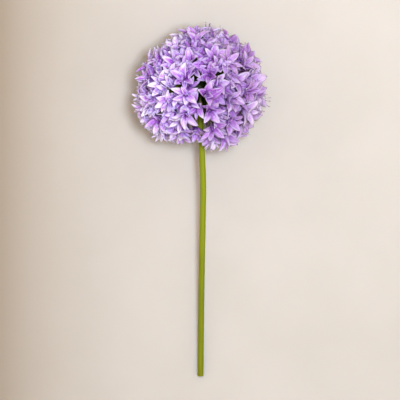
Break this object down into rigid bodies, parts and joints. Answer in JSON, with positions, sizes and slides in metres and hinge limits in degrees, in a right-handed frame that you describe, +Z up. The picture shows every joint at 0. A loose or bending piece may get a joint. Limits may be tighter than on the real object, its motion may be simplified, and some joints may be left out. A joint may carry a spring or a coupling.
{
  "type": "allium flower",
  "caption": "Cut allium bloom lying on its side: a globe of six-petalled lilac florets on thin stalks, at the end of a long bare green stem.",
  "frame": {"origin": "on the surface it lies on, straight below the middle of the globe of florets, on the flat underside of the lowest floret", "axes": "+Z up from the surface, +Y along the bloom from the cut end towards the crown of the globe, +X across"},
  "size_m": [0.1507, 0.399, 0.1427],
  "materials": {
    "petals": "soft, matt, lilac petals with paler tips",
    "stem": "smooth, waxy, fresh green stem"
  },
  "bodies": {
    "root": {"flower_head": "petals", "stem": "stem"}
  },
  "joints": []
}
